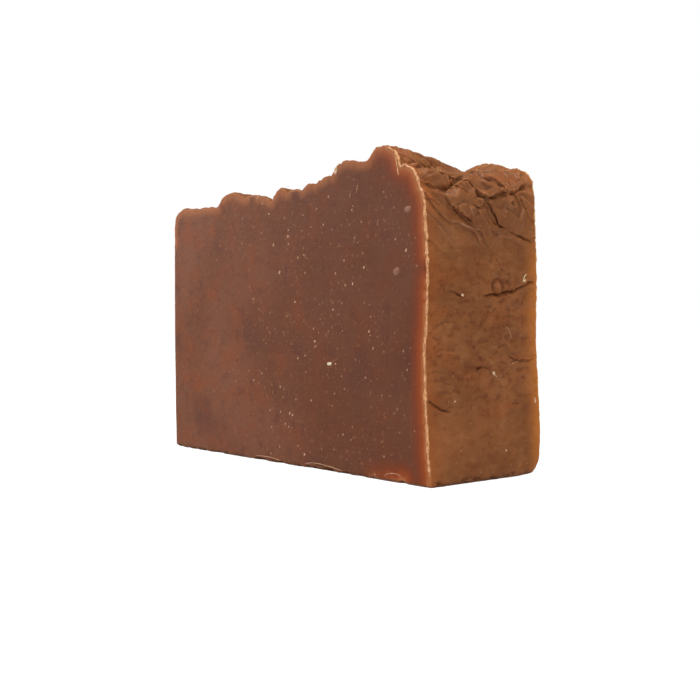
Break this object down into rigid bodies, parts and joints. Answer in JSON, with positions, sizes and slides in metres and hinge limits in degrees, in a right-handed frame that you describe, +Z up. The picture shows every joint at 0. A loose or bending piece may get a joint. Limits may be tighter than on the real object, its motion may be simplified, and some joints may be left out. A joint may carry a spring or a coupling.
{
  "type": "bar of soap",
  "caption": "Hand-cut loaf bar of soap with flat wire-cut faces, creased mould walls and a heaped top of overlapping folds.",
  "frame": {"origin": "middle of the bottom face, on which the bar stands", "axes": "+X along the bar's length to the wall with the higher end of the top, +Y from the front wire cut to the back one, +Z up to the folded top"},
  "size_m": [0.0888, 0.0322, 0.0664],
  "materials": {
    "soap": "matte, slightly waxy, reddish brown with pale grains"
  },
  "bodies": {
    "root": {"soap_bar": "soap"}
  },
  "joints": []
}
